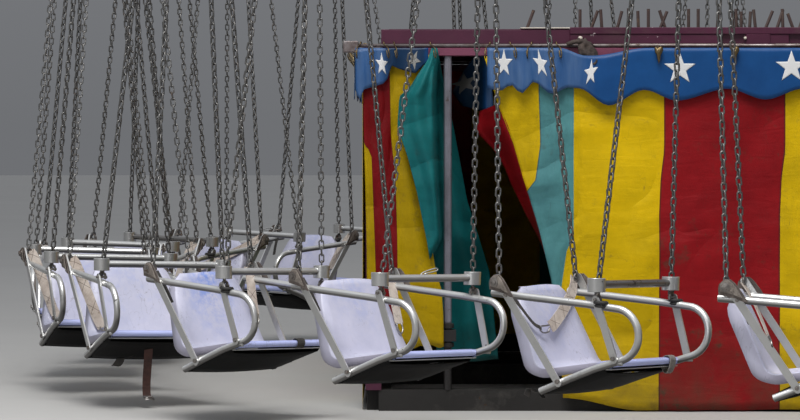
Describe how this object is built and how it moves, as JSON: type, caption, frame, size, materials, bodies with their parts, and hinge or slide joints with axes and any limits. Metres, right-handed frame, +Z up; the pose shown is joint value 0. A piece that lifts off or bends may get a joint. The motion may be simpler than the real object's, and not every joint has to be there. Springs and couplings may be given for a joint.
{
  "type": "chair swing ride",
  "caption": "Chair swing ride: chairs on chains hang from a turning ring carried by sweeps on a mast, around a low curtained middle.",
  "frame": {"origin": "on the ground under the middle of the mast", "axes": "+Z up along the mast; -Y towards the front curtain with the doorway; +X to the right seen from the front"},
  "size_m": [7.4186, 7.4186, 3.72],
  "materials": {
    "silver_paint": "worn silver paint",
    "plum_paint": "semi-gloss, chipped",
    "worn_steel": "dull, patchy paint",
    "dark_steel": "dark, dusty",
    "striped_cloth": "coated tent cloth in yellow, red and teal stripes",
    "seat_paint": "lilac, scuffed",
    "chain_steel": "dark, weathered",
    "belt_webbing": "beige webbing",
    "black_rubber": "matte"
  },
  "bodies": {
    "base": {"ground_frame": "dark_steel", "mast": "plum_paint", "curtain_rail": "worn_steel", "top_beam": "plum_paint", "deck": "plum_paint", "post_front_left": "plum_paint", "post_front_right": "plum_paint", "post_back_left": "plum_paint", "post_back_right": "plum_paint", "door_pole_left": "worn_steel", "door_pole_right": "worn_steel", "curtain_front_left": "striped_cloth", "curtain_front_right": "striped_cloth", "curtain_back": "striped_cloth", "curtain_left": "striped_cloth", "curtain_right": "striped_cloth"},
    "crown": {"hub": "plum_paint", "ring_beam": "plum_paint", "sweep_1": "plum_paint", "sweep_2": "plum_paint", "sweep_3": "plum_paint", "sweep_4": "plum_paint", "sweep_5": "plum_paint", "sweep_6": "plum_paint", "sweep_7": "plum_paint"},
    "chair_01_body": {"chair_01": "silver_paint"},
    "chair_02_body": {"chair_02": "silver_paint"},
    "chair_03_body": {"chair_03": "silver_paint"},
    "chair_04_body": {"chair_04": "silver_paint"},
    "chair_05_body": {"chair_05": "silver_paint"},
    "chair_06_body": {"chair_06": "silver_paint"},
    "chair_07_body": {"chair_07": "silver_paint"},
    "chair_08_body": {"chair_08": "silver_paint"},
    "chair_09_body": {"chair_09": "silver_paint"},
    "chair_10_body": {"chair_10": "silver_paint"},
    "chair_11_body": {"chair_11": "silver_paint"},
    "chair_12_body": {"chair_12": "silver_paint"},
    "chair_13_body": {"chair_13": "silver_paint"},
    "chair_14_body": {"chair_14": "silver_paint"},
    "chair_15_body": {"chair_15": "silver_paint"},
    "chair_16_body": {"chair_16": "silver_paint"},
    "chair_17_body": {"chair_17": "silver_paint"},
    "chair_18_body": {"chair_18": "silver_paint"},
    "chair_19_body": {"chair_19": "silver_paint"},
    "chair_20_body": {"chair_20": "silver_paint"},
    "chair_21_body": {"chair_21": "silver_paint"},
    "chair_22_body": {"chair_22": "silver_paint"},
    "chair_23_body": {"chair_23": "silver_paint"},
    "chair_24_body": {"chair_24": "silver_paint"},
    "chair_25_body": {"chair_25": "silver_paint"},
    "chair_26_body": {"chair_26": "silver_paint"},
    "chair_27_body": {"chair_27": "silver_paint"},
    "chair_28_body": {"chair_28": "silver_paint"}
  },
  "joints": [
    {"name": "crown_turn", "type": "hinge", "parent": "base", "child": "crown", "pos_m": [0, 0, 2.95], "axis": [0, 0, 1], "continuous": true},
    {"name": "chair_01_swing", "type": "hinge", "parent": "crown", "child": "chair_01_body", "pos_m": [-0.73654, -3.34999, 2.85], "axis": [-0.9767, 0.2147, 0], "range_deg": [0, 40]},
    {"name": "chair_02_swing", "type": "hinge", "parent": "crown", "child": "chair_02_body", "pos_m": [-1.46352, -3.1021, 2.85], "axis": [-0.9044, 0.4267, 0], "range_deg": [0, 40]},
    {"name": "chair_03_swing", "type": "hinge", "parent": "crown", "child": "chair_03_body", "pos_m": [-2.11711, -2.69866, 2.85], "axis": [-0.7868, 0.6172, 0], "range_deg": [0, 40]},
    {"name": "chair_04_swing", "type": "hinge", "parent": "crown", "child": "chair_04_body", "pos_m": [-2.66453, -2.1599, 2.85], "axis": [-0.6297, 0.7768, 0], "range_deg": [0, 40]},
    {"name": "chair_05_swing", "type": "hinge", "parent": "crown", "child": "chair_05_body", "pos_m": [-3.07835, -1.51283, 2.85], "axis": [-0.4411, 0.8975, 0], "range_deg": [0, 40]},
    {"name": "chair_06_swing", "type": "hinge", "parent": "crown", "child": "chair_06_body", "pos_m": [-3.33781, -0.7899, 2.85], "axis": [-0.2303, 0.9731, 0], "range_deg": [0, 40]},
    {"name": "chair_07_swing", "type": "hinge", "parent": "crown", "child": "chair_07_body", "pos_m": [-3.42989, -0.02737, 2.85], "axis": [-0.008, 1, 0], "range_deg": [0, 40]},
    {"name": "chair_08_swing", "type": "hinge", "parent": "crown", "child": "chair_08_body", "pos_m": [-3.34999, 0.73654, 2.85], "axis": [0.2147, 0.9767, 0], "range_deg": [0, 40]},
    {"name": "chair_09_swing", "type": "hinge", "parent": "crown", "child": "chair_09_body", "pos_m": [-3.1021, 1.46352, 2.85], "axis": [0.4267, 0.9044, 0], "range_deg": [0, 40]},
    {"name": "chair_10_swing", "type": "hinge", "parent": "crown", "child": "chair_10_body", "pos_m": [-2.69866, 2.11711, 2.85], "axis": [0.6172, 0.7868, 0], "range_deg": [0, 40]},
    {"name": "chair_11_swing", "type": "hinge", "parent": "crown", "child": "chair_11_body", "pos_m": [-2.1599, 2.66453, 2.85], "axis": [0.7768, 0.6297, 0], "range_deg": [0, 40]},
    {"name": "chair_12_swing", "type": "hinge", "parent": "crown", "child": "chair_12_body", "pos_m": [-1.51283, 3.07835, 2.85], "axis": [0.8975, 0.4411, 0], "range_deg": [0, 40]},
    {"name": "chair_13_swing", "type": "hinge", "parent": "crown", "child": "chair_13_body", "pos_m": [-0.7899, 3.33781, 2.85], "axis": [0.9731, 0.2303, 0], "range_deg": [0, 40]},
    {"name": "chair_14_swing", "type": "hinge", "parent": "crown", "child": "chair_14_body", "pos_m": [-0.02737, 3.42989, 2.85], "axis": [1, 0.008, 0], "range_deg": [0, 40]},
    {"name": "chair_15_swing", "type": "hinge", "parent": "crown", "child": "chair_15_body", "pos_m": [0.73654, 3.34999, 2.85], "axis": [0.9767, -0.2147, 0], "range_deg": [0, 40]},
    {"name": "chair_16_swing", "type": "hinge", "parent": "crown", "child": "chair_16_body", "pos_m": [1.46352, 3.1021, 2.85], "axis": [0.9044, -0.4267, 0], "range_deg": [0, 40]},
    {"name": "chair_17_swing", "type": "hinge", "parent": "crown", "child": "chair_17_body", "pos_m": [2.11711, 2.69866, 2.85], "axis": [0.7868, -0.6172, 0], "range_deg": [0, 40]},
    {"name": "chair_18_swing", "type": "hinge", "parent": "crown", "child": "chair_18_body", "pos_m": [2.66453, 2.1599, 2.85], "axis": [0.6297, -0.7768, 0], "range_deg": [0, 40]},
    {"name": "chair_19_swing", "type": "hinge", "parent": "crown", "child": "chair_19_body", "pos_m": [3.07835, 1.51283, 2.85], "axis": [0.4411, -0.8975, 0], "range_deg": [0, 40]},
    {"name": "chair_20_swing", "type": "hinge", "parent": "crown", "child": "chair_20_body", "pos_m": [3.33781, 0.7899, 2.85], "axis": [0.2303, -0.9731, 0], "range_deg": [0, 40]},
    {"name": "chair_21_swing", "type": "hinge", "parent": "crown", "child": "chair_21_body", "pos_m": [3.42989, 0.02737, 2.85], "axis": [0.008, -1, 0], "range_deg": [0, 40]},
    {"name": "chair_22_swing", "type": "hinge", "parent": "crown", "child": "chair_22_body", "pos_m": [3.34999, -0.73654, 2.85], "axis": [-0.2147, -0.9767, 0], "range_deg": [0, 40]},
    {"name": "chair_23_swing", "type": "hinge", "parent": "crown", "child": "chair_23_body", "pos_m": [3.1021, -1.46352, 2.85], "axis": [-0.4267, -0.9044, 0], "range_deg": [0, 40]},
    {"name": "chair_24_swing", "type": "hinge", "parent": "crown", "child": "chair_24_body", "pos_m": [2.69866, -2.11711, 2.85], "axis": [-0.6172, -0.7868, 0], "range_deg": [0, 40]},
    {"name": "chair_25_swing", "type": "hinge", "parent": "crown", "child": "chair_25_body", "pos_m": [2.1599, -2.66453, 2.85], "axis": [-0.7768, -0.6297, 0], "range_deg": [0, 40]},
    {"name": "chair_26_swing", "type": "hinge", "parent": "crown", "child": "chair_26_body", "pos_m": [1.51283, -3.07835, 2.85], "axis": [-0.8975, -0.4411, 0], "range_deg": [0, 40]},
    {"name": "chair_27_swing", "type": "hinge", "parent": "crown", "child": "chair_27_body", "pos_m": [0.7899, -3.33781, 2.85], "axis": [-0.9731, -0.2303, 0], "range_deg": [0, 40]},
    {"name": "chair_28_swing", "type": "hinge", "parent": "crown", "child": "chair_28_body", "pos_m": [0.02737, -3.42989, 2.85], "axis": [-1, -0.008, 0], "range_deg": [0, 40]}
  ],
  "couplings": [
    {"joint": "chair_02_swing", "follows": "chair_01_swing", "ratio": 1},
    {"joint": "chair_03_swing", "follows": "chair_01_swing", "ratio": 1},
    {"joint": "chair_04_swing", "follows": "chair_01_swing", "ratio": 1},
    {"joint": "chair_05_swing", "follows": "chair_01_swing", "ratio": 1},
    {"joint": "chair_06_swing", "follows": "chair_01_swing", "ratio": 1},
    {"joint": "chair_07_swing", "follows": "chair_01_swing", "ratio": 1},
    {"joint": "chair_08_swing", "follows": "chair_01_swing", "ratio": 1},
    {"joint": "chair_09_swing", "follows": "chair_01_swing", "ratio": 1},
    {"joint": "chair_10_swing", "follows": "chair_01_swing", "ratio": 1},
    {"joint": "chair_11_swing", "follows": "chair_01_swing", "ratio": 1},
    {"joint": "chair_12_swing", "follows": "chair_01_swing", "ratio": 1},
    {"joint": "chair_13_swing", "follows": "chair_01_swing", "ratio": 1},
    {"joint": "chair_14_swing", "follows": "chair_01_swing", "ratio": 1},
    {"joint": "chair_15_swing", "follows": "chair_01_swing", "ratio": 1},
    {"joint": "chair_16_swing", "follows": "chair_01_swing", "ratio": 1},
    {"joint": "chair_17_swing", "follows": "chair_01_swing", "ratio": 1},
    {"joint": "chair_18_swing", "follows": "chair_01_swing", "ratio": 1},
    {"joint": "chair_19_swing", "follows": "chair_01_swing", "ratio": 1},
    {"joint": "chair_20_swing", "follows": "chair_01_swing", "ratio": 1},
    {"joint": "chair_21_swing", "follows": "chair_01_swing", "ratio": 1},
    {"joint": "chair_22_swing", "follows": "chair_01_swing", "ratio": 1},
    {"joint": "chair_23_swing", "follows": "chair_01_swing", "ratio": 1},
    {"joint": "chair_24_swing", "follows": "chair_01_swing", "ratio": 1},
    {"joint": "chair_25_swing", "follows": "chair_01_swing", "ratio": 1},
    {"joint": "chair_26_swing", "follows": "chair_01_swing", "ratio": 1},
    {"joint": "chair_27_swing", "follows": "chair_01_swing", "ratio": 1},
    {"joint": "chair_28_swing", "follows": "chair_01_swing", "ratio": 1}
  ]
}
